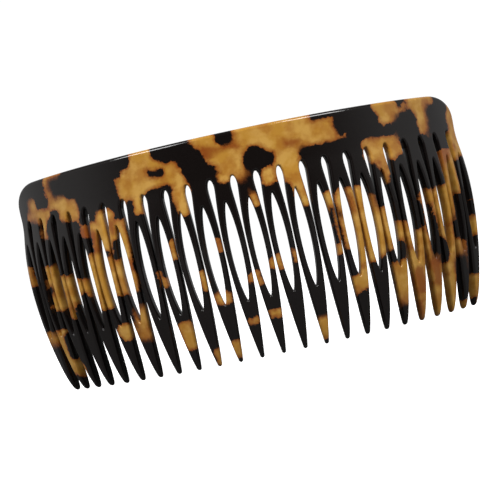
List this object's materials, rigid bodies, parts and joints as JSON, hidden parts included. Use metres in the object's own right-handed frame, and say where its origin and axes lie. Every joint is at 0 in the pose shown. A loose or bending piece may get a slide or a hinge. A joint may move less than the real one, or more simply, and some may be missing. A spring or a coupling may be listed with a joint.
{
  "type": "hair side comb",
  "caption": "Curved tortoiseshell-pattern hair comb: an arched spine with a row of long looped, pointed teeth that bow toward the head and grip a twist of hair.",
  "frame": {"origin": "under the middle of the comb's box, level with the tooth tips that it stands on", "axes": "+X along the comb from its left end to its right end as seen from the convex side, -Y out of the convex face that shows when it is worn, +Z from the tooth tips up to the spine"},
  "size_m": [0.1078, 0.0318, 0.0516],
  "materials": {
    "tortoiseshell_acetate": "polished gloss, honey amber mottled with near-black brown, slightly translucent"
  },
  "bodies": {
    "root": {"spine": "tortoiseshell_acetate", "tooth_01": "tortoiseshell_acetate", "tooth_02": "tortoiseshell_acetate", "tooth_03": "tortoiseshell_acetate", "tooth_04": "tortoiseshell_acetate", "tooth_05": "tortoiseshell_acetate", "tooth_06": "tortoiseshell_acetate", "tooth_07": "tortoiseshell_acetate", "tooth_08": "tortoiseshell_acetate", "tooth_09": "tortoiseshell_acetate", "tooth_10": "tortoiseshell_acetate", "tooth_11": "tortoiseshell_acetate", "tooth_12": "tortoiseshell_acetate", "tooth_13": "tortoiseshell_acetate", "tooth_14": "tortoiseshell_acetate", "tooth_15": "tortoiseshell_acetate", "tooth_16": "tortoiseshell_acetate", "tooth_17": "tortoiseshell_acetate", "tooth_18": "tortoiseshell_acetate", "tooth_19": "tortoiseshell_acetate", "tooth_20": "tortoiseshell_acetate", "tooth_21": "tortoiseshell_acetate", "tooth_22": "tortoiseshell_acetate", "tooth_23": "tortoiseshell_acetate", "tooth_24": "tortoiseshell_acetate"}
  },
  "joints": []
}
